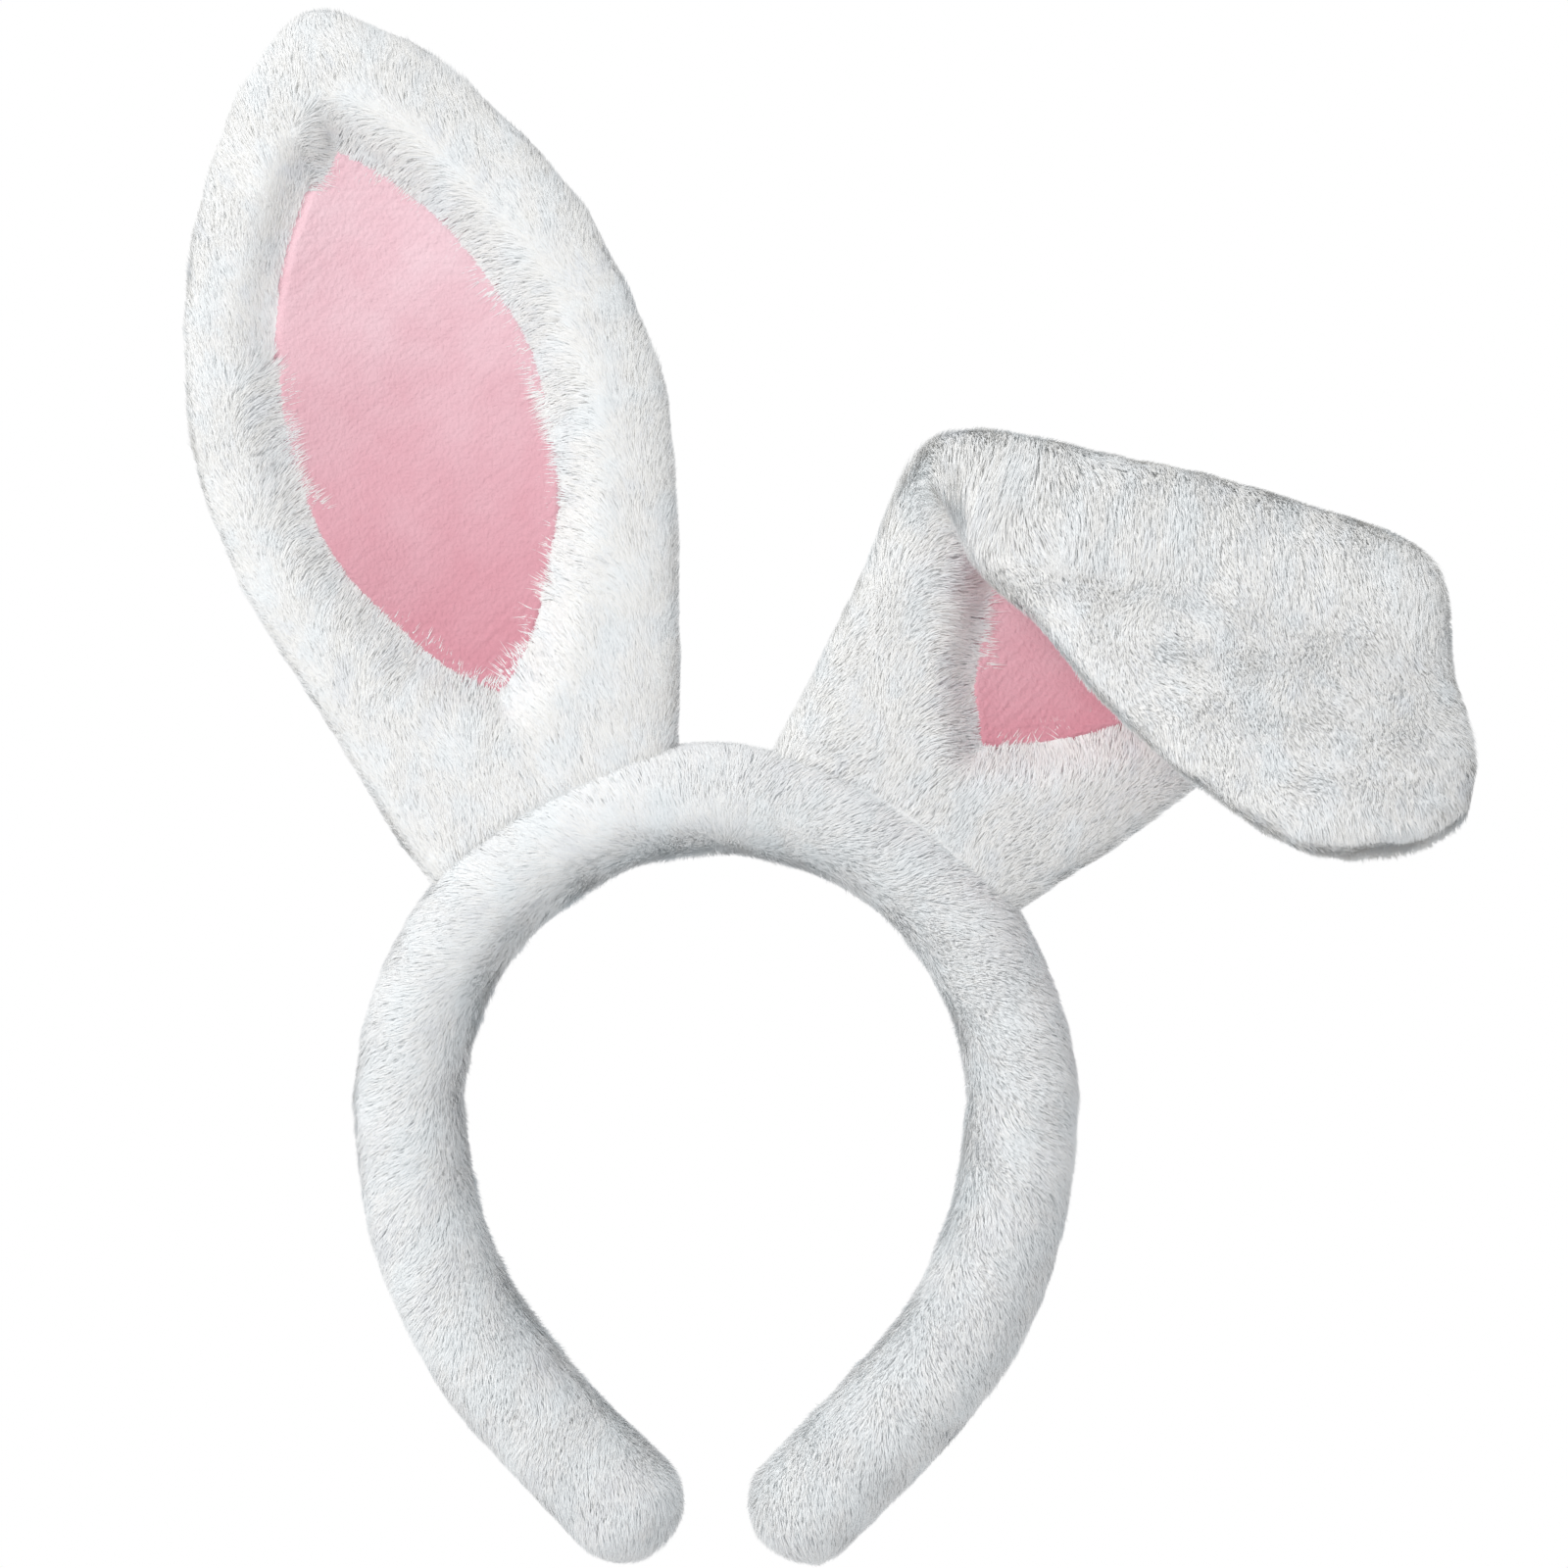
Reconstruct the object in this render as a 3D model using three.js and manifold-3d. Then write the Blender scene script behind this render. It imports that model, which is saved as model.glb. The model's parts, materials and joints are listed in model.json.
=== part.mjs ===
// A plush rabbit-ear headband: a sprung hoop in a fur sleeve, with two stuffed, wired ears.
//
// Frame: millimetres, +Z up, +X to the right seen from the front, and the linings of the ears
// face -Y. The origin is the middle of the hoop's inner face, where it rests on the crown of
// the head. The left ear stands up, and the right ear is folded forwards and down.

import * as THREE from 'three';
import Module from 'manifold-3d';

const wasm = await Module();
wasm.setup();

// ---------------------------------------------------------------- driving dimensions

const GAP = 0.3; // between touching pieces
const SPLIT = 0.6; // between the two sides of a flex or fold
const FACING_IN = Math.PI; // section angle of the tube's inner side

// Hoop, measured to the centre line of its tube.
const HOOP_RADIUS = 69.5;
const HOOP_STEP = 10; // degrees between rings on the crown arc
const LEG_RADIUS = 98; // each leg turns inwards on a wider arc
const LEG_SWEEP = 44; // degrees
const LEG_STEP = 11;
const LEG_STRAIGHT = 30;
const FLEX_ANGLE = 60; // from the crown down to where a leg flexes, degrees

// Tube section.
const TUBE_RADIUS = 12.4; // to the flats of the fur sleeve
const TIP_SWELL = 1.2; // added to the radius at the tips
const TUBE_SIDES = 12;
const SLEEVE_WALL = 3.4; // knitted backing and pressed pile
const CORE_WIDTH = 10;
const CORE_THICKNESS = 2;
const CORE_SETBACK = 6; // core stops this far before the centre of a tip's dome
const SEAM_ANGLE = 32; // from the inner side towards the back, degrees
const SEAM_OPENING = 1.4;
const SEAM_OVERRUN = 1; // of the seam's slit past each face of the sleeve
const THREAD_RADIUS = 0.4;
const DOME_ANGLES = [25, 50, 70, 84]; // rings of a tip's dome, degrees

// Ears. A section is measured from the ear's axis, forwards and backwards.
const EAR_FRONT = 10;
const EAR_BACK = 9;
const EAR_SIDES = 18;
const EAR_WALL = 3;
const EAR_SHOULDER = 1.6; // power that draws the sides in below the widest section
const EAR_FULLNESS = 0.6; // power that fills out the front of a section
const EAR_THIN_BELOW = 26; // half width under which a section gets thinner too
const EAR_THINNING = 0.6;
const EAR_LOW_SECTIONS = 4; // between the foot and the widest section
const EAR_TIP_STEP = 12; // degrees between sections towards the tip
const CUP = 4.5; // depth of the hollow down the front
const CUP_REACH = 0.66; // share of the half width that the hollow takes
const CUP_FROM = 15; // the hollow deepens from here
const CUP_FULL = 45; // to here
const CUP_FADES = 125; // and fades out above this
const CUP_BELOW_TIP = 15; // until here
const FOOT_CLEARANCE = 1.2; // between the foot of an ear and the hoop
const FOOT_ROUNDING = 0.2; // rise of the foot's underside per unit of depth, for the tilt
const FOOT_BLEND = 40; // height over which sections straighten from the hoop's curve
const FOOT_RINGS = [0.02, 0.4, 0.8]; // rings that close the foot
const LINING_FROM = 22;
const LINING_BELOW_TIP = 31;
const LINING_HALF_WIDTH = 32;
const LINING_POINT = 0.75; // power of the leaf shape: 1 is pointed, less is fuller
const LINING_STEPS = 14;
const WIRE_RADIUS = 0.8;
const WIRE_INSET = 15;
const WIRE_DEPTH = -1;
const WIRE_FROM = 16;
const WIRE_TIP_HALF = 5; // half width of the loop at its ends
const WIRE_SEGMENTS = 40;
const ANCHOR_SETBACK = 0.5; // of the anchor's end below the sleeve's surface
const ANCHOR_ROOM = 6; // the room for it runs on out of the sleeve, per unit of margin
const STITCHES = 18; // round the foot of an ear
const STITCH_ROWS = [4, 7]; // heights that the thread zigzags between

const EARS = [
  {
    name: 'left_ear', foot: [-40.0, 13.3], lean: -16.4, length: 187, halfWidth: 55.5,
    footHalfWidth: 26, footShift: 2.5, widestAt: 84, taper: 0.72, curl: 0, curlFrom: 84,
    liningShift: -2.5, foldHeight: 84, foldSlope: 0, fold: 0,
  },
  {
    name: 'right_ear', foot: [42.0, 8.9], lean: 41.7, length: 176.5, halfWidth: 48,
    footHalfWidth: 28, footShift: 1.3, widestAt: 54, taper: 0.36, curl: 30.5, curlFrom: 62,
    liningShift: 2.5, foldHeight: 81.2, foldSlope: 27.5, fold: 145,
  },
];

const COLOURS = {
  fur: { color: 0xeceff1, roughness: 1.0 },
  lining: { color: 0xf0bcc8, roughness: 0.95 },
  thread: { color: 0xf2f2f0, roughness: 0.8 },
  foam: { color: 0xe9e4d4, roughness: 0.9 },
  filling: { color: 0xfafafa, roughness: 1.0 },
  core: { color: 0xe6e6e2, roughness: 0.45 },
  wire: { color: 0xb9bdc0, roughness: 0.35, metalness: 1.0 },
};

// ---------------------------------------------------------------- solids

const radians = THREE.MathUtils.degToRad;
const HOOP_CENTRE_Z = -(HOOP_RADIUS - TUBE_RADIUS) * Math.cos(radians(HOOP_STEP / 2));

function solidOf(points, triangles) {
  const volume = triangles.reduce((sum, [a, b, c]) => (
    sum + points[a].dot(new THREE.Vector3().crossVectors(points[b], points[c]))
  ), 0);
  const outward = volume > 0 ? triangles : triangles.map(([a, b, c]) => [a, c, b]);
  return new wasm.Manifold(new wasm.Mesh({
    numProp: 3,
    vertProperties: new Float32Array(points.flatMap((point) => point.toArray())),
    triVerts: new Uint32Array(outward.flat()),
  }));
}

// Joins rings of equal size into a closed solid, with a fan of triangles over each end.
function loft(rings, closed = false) {
  const sides = rings[0].length;
  const points = rings.flat();
  const triangles = [];
  const spans = closed ? rings.length : rings.length - 1;
  for (let i = 0; i < spans; i += 1) {
    const next = (i + 1) % rings.length;
    for (let j = 0; j < sides; j += 1) {
      const k = (j + 1) % sides;
      const [a, b, c, d] = [i * sides + j, i * sides + k, next * sides + k, next * sides + j];
      triangles.push([a, b, c], [a, c, d]);
    }
  }
  if (!closed) {
    for (const [ring, turn] of [[0, 1], [rings.length - 1, -1]]) {
      const centre = new THREE.Vector3();
      rings[ring].forEach((point) => centre.addScaledVector(point, 1 / sides));
      points.push(centre);
      for (let j = 0; j < sides; j += 1) {
        const [a, b] = [ring * sides + j, ring * sides + ((j + 1) % sides)];
        triangles.push(turn > 0 ? [points.length - 1, b, a] : [points.length - 1, a, b]);
      }
    }
  }
  return solidOf(points, triangles);
}

// Carries a section along stations. Each station has a point, a unit direction out, which is
// the section's first axis, and a unit direction across, its second.
function sweep(stations, sectionAt, closed = false) {
  return loft(stations.map((station) => sectionAt(station).map(([out, across]) => (
    station.point.clone().addScaledVector(station.out, out).addScaledVector(station.across, across)
  ))), closed);
}

function stationsAlong(points, across, closed = false) {
  const last = points.length - 1;
  return points.map((point, i) => {
    const before = points[i > 0 ? i - 1 : (closed ? last : 0)];
    const after = points[i < last ? i + 1 : (closed ? 0 : last)];
    const along = new THREE.Vector3().subVectors(after, before).normalize();
    const out = new THREE.Vector3().crossVectors(along, across).normalize();
    return { point, out, across: new THREE.Vector3().crossVectors(out, along) };
  });
}

function polygon(sides, radius) {
  return Array.from({ length: sides }, (_, k) => {
    const angle = FACING_IN + ((k + 0.5) * 2 * Math.PI) / sides;
    return [radius * Math.cos(angle), radius * Math.sin(angle)];
  });
}

function round(points, across, radius, closed = false, sides = 6) {
  return sweep(stationsAlong(points, across, closed), () => polygon(sides, radius), closed);
}

function meshOf(name, look, solid) {
  const { vertProperties, triVerts } = solid.getMesh();
  const geometry = new THREE.BufferGeometry();
  geometry.setAttribute('position', new THREE.BufferAttribute(new Float32Array(vertProperties), 3));
  geometry.setIndex(new THREE.BufferAttribute(new Uint32Array(triVerts), 1));
  geometry.computeVertexNormals();
  const mesh = new THREE.Mesh(geometry, new THREE.MeshStandardMaterial(COLOURS[look]));
  mesh.name = name;
  return mesh;
}

// ---------------------------------------------------------------- hoop

const ACROSS = new THREE.Vector3(0, 1, 0);

function hoopStation(x, z, outX, outZ, radius = TUBE_RADIUS) {
  return {
    point: new THREE.Vector3(x, 0, z), out: new THREE.Vector3(outX, 0, outZ), across: ACROSS, radius,
  };
}

// Stations of the right half, from the crown to the centre of the tip's dome.
function halfHoop() {
  const stations = [];
  for (let angle = HOOP_STEP / 2; angle < 90; angle += HOOP_STEP) {
    const [s, c] = [Math.sin(radians(angle)), Math.cos(radians(angle))];
    stations.push(hoopStation(HOOP_RADIUS * s, HOOP_CENTRE_Z + HOOP_RADIUS * c, s, c));
  }
  for (let angle = 0; angle <= LEG_SWEEP; angle += LEG_STEP) {
    const [s, c] = [Math.sin(radians(angle)), Math.cos(radians(angle))];
    const radius = TUBE_RADIUS + (TIP_SWELL * angle) / LEG_SWEEP;
    const x = HOOP_RADIUS - LEG_RADIUS * (1 - c);
    stations.push(hoopStation(x, HOOP_CENTRE_Z - LEG_RADIUS * s, c, -s, radius));
  }
  const elbow = stations.at(-1);
  const down = new THREE.Vector3(elbow.out.z, 0, -elbow.out.x);
  const tip = elbow.point.clone().addScaledVector(down, LEG_STRAIGHT);
  stations.push({ ...elbow, point: tip });
  return stations;
}

function mirrored(station) {
  const flip = ({ x, y, z }) => new THREE.Vector3(-x, y, z);
  return { ...station, point: flip(station.point), out: flip(station.out) };
}

function wholeHoop(right) {
  return [...right.map(mirrored).reverse(), ...right];
}

// The tube's rings carry on past the tip as a dome.
function withDome(stations, inset) {
  const tip = stations.at(-1);
  const down = new THREE.Vector3(tip.out.z, 0, -tip.out.x);
  const rings = DOME_ANGLES.map((angle) => ({
    ...tip,
    point: tip.point.clone().addScaledVector(down, (tip.radius - inset) * Math.sin(radians(angle))),
    shrink: Math.cos(radians(angle)),
  }));
  return [...stations, ...rings];
}

const HALF_HOOP = halfHoop();

function tube(inset) {
  const flats = Math.cos(Math.PI / TUBE_SIDES);
  return sweep(wholeHoop(withDome(HALF_HOOP, inset)), ({ radius, shrink = 1 }) => (
    polygon(TUBE_SIDES, ((radius - inset) / flats) * shrink)
  ));
}

function strip(margin) {
  const [out, across] = [CORE_THICKNESS / 2 + margin, CORE_WIDTH / 2 + margin];
  const tip = HALF_HOOP.at(-1);
  const up = new THREE.Vector3(-tip.out.z, 0, tip.out.x);
  const end = { ...tip, point: tip.point.clone().addScaledVector(up, CORE_SETBACK - margin) };
  return sweep(wholeHoop([...HALF_HOOP.slice(0, -1), end]), () => (
    [[-out, -across], [out, -across], [out, across], [-out, across]]
  ));
}

// A section in the sleeve's seam, given along the tube's radius and across the seam.
function seamSection(points) {
  const [s, c] = [Math.sin(radians(SEAM_ANGLE)), Math.cos(radians(SEAM_ANGLE))];
  return points.map(([depth, side]) => [-depth * c + side * s, depth * s + side * c]);
}

const SEAM_STATIONS = wholeHoop(HALF_HOOP);

function seamSlit() {
  const side = SEAM_OPENING / 2;
  return sweep(SEAM_STATIONS, ({ radius }) => {
    const [inner, outer] = [radius - SLEEVE_WALL - SEAM_OVERRUN, radius + SEAM_OVERRUN];
    return seamSection([[inner, -side], [outer, -side], [outer, side], [inner, side]]);
  });
}

function seamThread() {
  return sweep(SEAM_STATIONS, ({ radius }) => (
    seamSection(polygon(6, THREAD_RADIUS).map(([depth, side]) => (
      [radius - SLEEVE_WALL / 2 + depth, side]
    )))
  ));
}

// Parts a solid of the whole hoop at the two flex planes.
function hoopSegments(solid) {
  const [s, c] = [Math.sin(radians(FLEX_ANGLE)), Math.cos(radians(FLEX_ANGLE))];
  const offset = -HOOP_CENTRE_Z * s;
  const rightCrown = [-c, 0, s];
  const leftCrown = [c, 0, s];
  const opposite = (normal) => normal.map((value) => -value);
  return {
    crown: solid.trimByPlane(rightCrown, SPLIT / 2 - offset).trimByPlane(leftCrown, SPLIT / 2 - offset),
    left_leg: solid.trimByPlane(opposite(leftCrown), SPLIT / 2 + offset).trimByPlane([-1, 0, 0], 0),
    right_leg: solid.trimByPlane(opposite(rightCrown), SPLIT / 2 + offset).trimByPlane([1, 0, 0], 0),
  };
}

// ---------------------------------------------------------------- ears

function earPlacement({ foot, lean }) {
  return new THREE.Matrix4().makeRotationY(radians(lean)).setPosition(foot[0], 0, foot[1]);
}

function earHalfWidth({ halfWidth, footHalfWidth, widestAt, length, taper }, height) {
  if (height < widestAt) {
    const below = Math.min(1, 1 - height / widestAt);
    return halfWidth - (halfWidth - footHalfWidth) * below ** EAR_SHOULDER;
  }
  const above = Math.min(1, (height - widestAt) / (length - widestAt));
  return halfWidth * (1 - above ** 2) ** taper;
}

function earCentre({ curl, curlFrom, footShift, length }, height) {
  const curled = curl * Math.max(0, (height - curlFrom) / (length - curlFrom));
  return curled + footShift * Math.max(0, 1 - height / FOOT_BLEND);
}

// Height of an ear's foot above its origin, where it follows the hoop's outer side.
function footHeight(ear, side) {
  const centre = new THREE.Vector3(0, 0, HOOP_CENTRE_Z);
  centre.applyMatrix4(earPlacement(ear).invert());
  const radius = HOOP_RADIUS + TUBE_RADIUS + FOOT_CLEARANCE;
  return centre.z + Math.sqrt(radius ** 2 - (side - centre.x) ** 2);
}

// Spread below 1 draws the foot's section in, to close the foot along the hoop's curve.
function earPoint(ear, height, angle, inset, spread = 1) {
  const { smoothstep } = THREE.MathUtils;
  const half = Math.max(1, earHalfWidth(ear, height) - inset);
  const across = Math.cos(angle);
  const depth = Math.sin(angle);
  const thin = Math.min(1, half / EAR_THIN_BELOW) ** EAR_THINNING;
  let y = thin * (EAR_BACK - inset) * depth;
  if (depth < 0) {
    const fades = smoothstep(height, CUP_FADES, ear.length - CUP_BELOW_TIP);
    const cup = CUP * smoothstep(height, CUP_FROM, CUP_FULL) * (1 - fades);
    const hollow = Math.max(0, 1 - (across / CUP_REACH) ** 2) ** 2;
    y = -thin * (EAR_FRONT - inset) * Math.abs(depth) ** EAR_FULLNESS + cup * hollow;
  }
  const x = earCentre(ear, height) + spread * half * across;
  const onHoop = Math.max(0, 1 - height / FOOT_BLEND);
  const underside = footHeight(ear, x) + inset + FOOT_ROUNDING * Math.abs(spread * y);
  return new THREE.Vector3(x, spread * y, height + onHoop * underside);
}

function earBody(ear, inset) {
  const levels = FOOT_RINGS.map((spread) => [0, spread]);
  const rise = ear.length - inset - ear.widestAt;
  for (let i = 0; i < EAR_LOW_SECTIONS; i += 1) levels.push([(i * ear.widestAt) / EAR_LOW_SECTIONS, 1]);
  for (let angle = 0; angle < 90; angle += EAR_TIP_STEP) {
    levels.push([ear.widestAt + rise * Math.sin(radians(angle)), 1]);
  }
  return loft(levels.map(([height, spread]) => Array.from({ length: EAR_SIDES }, (_, k) => (
    earPoint(ear, height, ((k + 0.5) * 2 * Math.PI) / EAR_SIDES, inset, spread)
  ))));
}

// The lining's leaf shape, cut right through the ear's front wall.
function liningCutter(ear, inset) {
  const top = ear.length - LINING_BELOW_TIP;
  const outline = { left: [], right: [] };
  for (let i = 1; i < LINING_STEPS; i += 1) {
    const height = LINING_FROM + ((top - LINING_FROM) * i) / LINING_STEPS;
    const half = LINING_HALF_WIDTH * Math.sin((Math.PI * i) / LINING_STEPS) ** LINING_POINT - inset;
    const centre = earCentre(ear, height) + ear.liningShift;
    outline.left.push(new THREE.Vector2(centre - half, height));
    outline.right.unshift(new THREE.Vector2(centre + half, height));
  }
  const ends = [LINING_FROM + inset, top - inset].map((height) => (
    new THREE.Vector2(earCentre(ear, height) + ear.liningShift, height)
  ));
  const leaf = [ends[0], ...outline.left, ends[1], ...outline.right];
  const depths = [-2 * EAR_FRONT, 0];
  return loft(depths.map((y) => leaf.map((point) => new THREE.Vector3(point.x, y, point.y))));
}

// A loop of wire follows the ear's outline, and its tail goes down through the foot.
function earWire(ear, radius) {
  const heights = [];
  for (let angle = -80; angle <= 80; angle += 20) {
    const middle = (ear.length - WIRE_INSET + WIRE_FROM) / 2;
    heights.push(middle + (middle - WIRE_FROM) * Math.sin(radians(angle)));
  }
  const side = (height, turn) => {
    const half = Math.max(WIRE_TIP_HALF, earHalfWidth(ear, height) - WIRE_INSET) * turn;
    return new THREE.Vector3(earCentre(ear, height) + half, WIRE_DEPTH, height);
  };
  const curve = new THREE.CatmullRomCurve3([
    ...heights.map((height) => side(height, -1)),
    ...heights.toReversed().map((height) => side(height, 1)),
  ], true);
  const points = curve.getPoints(WIRE_SEGMENTS).slice(0, -1);
  const loop = round(points, ACROSS, radius, true);
  const bottom = Math.min(...points.map((point) => point.z));
  const tail = [bottom, footHeight(ear, 0)].map((z) => new THREE.Vector3(0, WIRE_DEPTH, z));
  return loop.add(round(tail, ACROSS, radius));
}

// Where the ear's axis meets the hoop, and the hoop's outward angle there.
function earRoot(ear) {
  const point = new THREE.Vector3(0, 0, footHeight(ear, 0)).applyMatrix4(earPlacement(ear));
  return { point, angle: Math.atan2(point.x, point.z - HOOP_CENTRE_Z) };
}

// The wire's end is wound once round the core, and rises through the sleeve.
function wireAnchor(ear, margin) {
  const { angle } = earRoot(ear);
  const placement = new THREE.Matrix4().makeRotationY(angle).setPosition(0, 0, HOOP_CENTRE_Z);
  const reach = WIRE_RADIUS + 2 * GAP;
  const [half, rise] = [CORE_WIDTH / 2 + reach, CORE_THICKNESS / 2 + reach];
  const ring = [[-half, -rise], [half, -rise], [half, rise], [0, rise], [-half, rise]].map(([y, z]) => (
    new THREE.Vector3(0, y, HOOP_RADIUS + z)
  ));
  const top = TUBE_RADIUS - ANCHOR_SETBACK + margin * ANCHOR_ROOM;
  const post = [rise, top].map((z) => new THREE.Vector3(0, 0, HOOP_RADIUS + z));
  const along = new THREE.Vector3(1, 0, 0);
  const radius = WIRE_RADIUS + margin;
  return round(ring, along, radius, true).add(round(post, along, radius)).transform(placement.elements);
}

// A zigzag of thread round the foot of the ear.
function footThread(ear) {
  const count = 2 * STITCHES;
  const points = Array.from({ length: count }, (_, k) => (
    earPoint(ear, STITCH_ROWS[k % 2], (k * 2 * Math.PI) / count, -THREAD_RADIUS - 2 * GAP)
  ));
  return round(points, new THREE.Vector3(0, 0, 1), THREAD_RADIUS, true, 5);
}

function foldAxis({ foldSlope }) {
  return new THREE.Vector3(Math.cos(radians(foldSlope)), 0, Math.sin(radians(foldSlope)));
}

// Parts a solid of the whole ear at the fold.
function earHalves(ear, solid) {
  const axis = foldAxis(ear);
  const offset = ear.foldHeight * axis.x;
  return {
    lower: solid.trimByPlane([axis.z, 0, -axis.x], SPLIT / 2 - offset),
    upper: solid.trimByPlane([-axis.z, 0, axis.x], SPLIT / 2 + offset),
  };
}

function buildEar(ear) {
  const wire = earWire(ear, WIRE_RADIUS);
  const wireRoom = earWire(ear, WIRE_RADIUS + GAP);
  const shell = earBody(ear, 0).subtract(earBody(ear, EAR_WALL));
  const layers = [
    ['cover', 'fur', shell.subtract(liningCutter(ear, 0)).subtract(wireRoom)],
    ['lining', 'lining', shell.intersect(liningCutter(ear, GAP))],
    ['filling', 'filling', earBody(ear, EAR_WALL + GAP).subtract(wireRoom)],
    ['wire', 'wire', wire],
  ];
  const lower = new THREE.Group();
  lower.applyMatrix4(earPlacement(ear));
  const upper = new THREE.Group();
  const hinge = new THREE.Vector3(0, -EAR_FRONT - SPLIT, ear.foldHeight);
  upper.position.copy(hinge);
  upper.rotateOnAxis(foldAxis(ear), radians(ear.fold));
  lower.add(upper);
  for (const [layer, look, solid] of layers) {
    const halves = earHalves(ear, solid);
    lower.add(meshOf(`${ear.name}_${layer}_lower`, look, halves.lower));
    const above = meshOf(`${ear.name}_${layer}_upper`, look, halves.upper);
    above.position.copy(hinge).negate();
    upper.add(above);
  }
  lower.add(meshOf(`${ear.name}_foot_thread`, 'thread', footThread(ear)));
  return lower;
}

// ---------------------------------------------------------------- assembly

const headband = new THREE.Group();

const anchorRoom = EARS.map((ear) => wireAnchor(ear, GAP));
const carved = (solid) => anchorRoom.reduce((rest, room) => rest.subtract(room), solid);
const hoopLayers = [
  ['sleeve', 'fur', carved(tube(0).subtract(tube(SLEEVE_WALL)).subtract(seamSlit()))],
  ['foam', 'foam', carved(tube(SLEEVE_WALL + GAP).subtract(strip(GAP)))],
  ['core', 'core', strip(0)],
  ['seam_thread', 'thread', seamThread()],
];
for (const [layer, look, solid] of hoopLayers) {
  for (const [segment, piece] of Object.entries(hoopSegments(solid))) {
    headband.add(meshOf(`${segment}_${layer}`, look, piece));
  }
}
for (const ear of EARS) {
  headband.add(meshOf(`${ear.name}_wire_anchor`, 'wire', wireAnchor(ear, 0)));
  headband.add(buildEar(ear));
}

export default headband;
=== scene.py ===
"""The looks of a plush rabbit-ear headband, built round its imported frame."""
import json
import math

import bpy
import numpy as np
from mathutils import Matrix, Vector


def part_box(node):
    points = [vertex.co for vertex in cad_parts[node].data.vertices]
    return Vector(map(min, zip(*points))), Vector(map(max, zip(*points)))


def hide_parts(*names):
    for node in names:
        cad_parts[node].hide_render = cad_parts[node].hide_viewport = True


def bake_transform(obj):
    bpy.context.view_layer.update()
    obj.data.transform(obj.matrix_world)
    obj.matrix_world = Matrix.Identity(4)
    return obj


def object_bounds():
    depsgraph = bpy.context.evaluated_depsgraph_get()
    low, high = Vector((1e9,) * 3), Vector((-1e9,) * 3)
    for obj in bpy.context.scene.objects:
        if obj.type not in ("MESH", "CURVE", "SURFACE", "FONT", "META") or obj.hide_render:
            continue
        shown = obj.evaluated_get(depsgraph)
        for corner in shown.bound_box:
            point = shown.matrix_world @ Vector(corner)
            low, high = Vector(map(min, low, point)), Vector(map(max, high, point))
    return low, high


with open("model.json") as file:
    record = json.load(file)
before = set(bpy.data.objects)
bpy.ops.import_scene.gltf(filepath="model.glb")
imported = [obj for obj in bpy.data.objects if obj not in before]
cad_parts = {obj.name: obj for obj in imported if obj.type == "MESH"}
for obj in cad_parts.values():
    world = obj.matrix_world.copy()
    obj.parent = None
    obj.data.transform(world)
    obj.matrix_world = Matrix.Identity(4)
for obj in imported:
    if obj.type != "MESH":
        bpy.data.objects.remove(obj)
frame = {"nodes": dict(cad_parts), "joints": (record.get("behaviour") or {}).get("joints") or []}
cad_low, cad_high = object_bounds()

MM = 0.001
NODES = frame["nodes"]
JOINTS = {joint["name"]: joint for joint in frame["joints"]}
BACK = np.array([0.0, 1.0, 0.0])

# Random fields are given as layers, each with its amplitude, size and seed.

# Pile: the skin that carries it lies inside the CAD surface, and the tips end just proud of it.
PILE_DEPTH = 1.6 * MM
PILE_HEIGHT = 1.9 * MM
PILE_HEIGHT_DRIFT = [(0.06, 5 * MM, 21)]
PILE_HEIGHT_SCATTER = (0.86, 1.04)
PILE_THICKNESS = 0.19 * MM
PILE_THICKNESS_SCATTER = (0.75, 1.2)
PILE_DENSITY = 7.5 / MM**2
PILE_LEAN = 1.08  # away from upright, radians
PILE_LEAN_MOST = 1.22
PILE_LEAN_DRIFT = [(0.12, 11 * MM, 33)]
PILE_LEAN_SCATTER = 0.08
SWING_DRIFT = [(0.35, 18 * MM, 5), (0.12, 7 * MM, 9)]  # away from the comb's direction, radians
SWING_SCATTER = 0.2
TUFT = 1.7 * MM  # size of the patches whose tips draw together
TUFT_PULL = 0.2
TUFT_WARP = 5.3 * MM
TUFT_HASH = (73856093, 19349663, 83492791)
STRAND_SINK = 0.3 * MM  # of a strand's base below the skin
STRAND_FACES = np.array([[0, 1, 3], [0, 3, 2], [2, 3, 4]])
STRANDS_IN_A_PIECE = 45000
SKIN_NORMAL = 0.88  # share of the skin's normal in a strand's
BLADE_ROLL = 0.15  # about its own length, radians
BLADE_BOW = 0.2  # rise of its middle, share of its height
BLADE_ROUND = 0.12  # spread of its edges' normals
TONE_DRIFT = [(1.0, 13 * MM, 41), (0.5, 5 * MM, 42)]
TONE_SCATTER = 0.45

# Hoop.
HOOP_RING = 1.6 * MM
HOOP_COLUMNS = 56
DOME_RINGS = 12
DOME_FROM, DOME_TO = 6.0, 89.0  # degrees
HOOP_SWELL_FROM, HOOP_SWELL_TO = 0.5, 0.85  # where the tube gets its tip's radius, shares of its length
HOOP_PUFF = 0.1 * MM
HOOP_LUMPS = [(0.35 * MM, 26 * MM, 3), (0.12 * MM, 9 * MM, 4)]
HOOP_DOWN_REACH = 25 * MM  # over which the pile turns down the legs from the crown
SEAM_ANGLE = math.radians(32)
SEAM_REACH = 5.0 * MM
SEAM_HALF = 0.8 * MM
SEAM_SHARE = 0.15  # of the pile that stands in the seam
FLEX_SPLIT = 3.0 * MM  # stations nearer than this belong to the flex

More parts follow.
